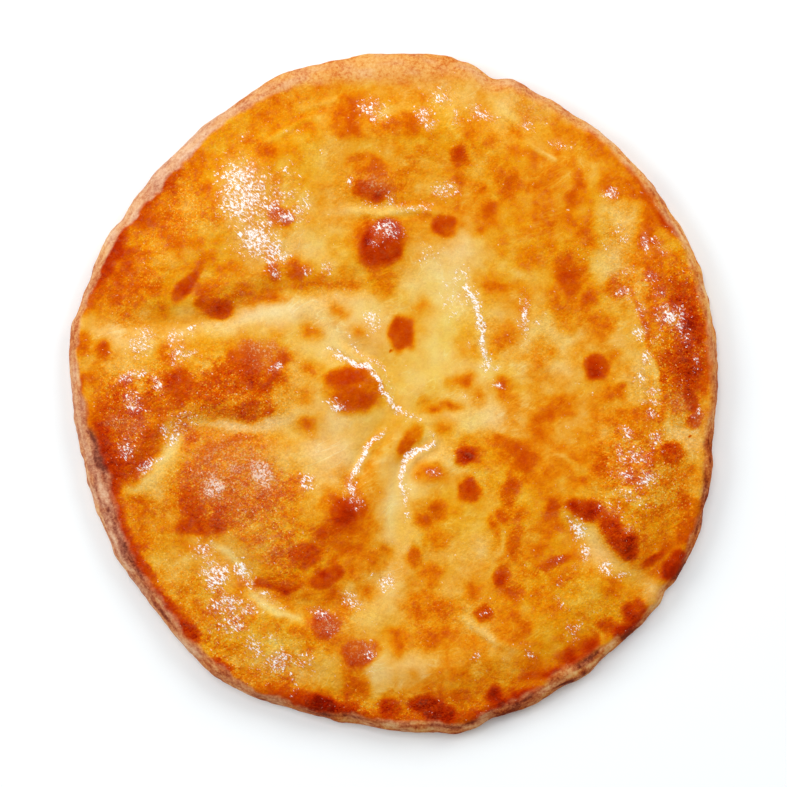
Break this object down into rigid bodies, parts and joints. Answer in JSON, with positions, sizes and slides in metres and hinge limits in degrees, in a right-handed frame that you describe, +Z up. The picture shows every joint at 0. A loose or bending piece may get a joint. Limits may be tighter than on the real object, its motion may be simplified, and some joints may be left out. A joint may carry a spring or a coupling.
{
  "type": "imeruli khachapuri",
  "caption": "Round flat cheese-filled bread with a thin rounded edge, low puffed domes, gathered folds and a browned, egg-washed top.",
  "frame": {"origin": "middle of the flat underside, in the plane that it rests on", "axes": "+Z up through the top of the bread, +X to the right and +Y away as seen from above"},
  "size_m": [0.2598, 0.2718, 0.019],
  "materials": {
    "baked_crust": "golden baked dough, mottled brown, glossy where brushed with butter and egg, dry and paler at the edge"
  },
  "bodies": {
    "root": {"khachapuri": "baked_crust"}
  },
  "joints": []
}
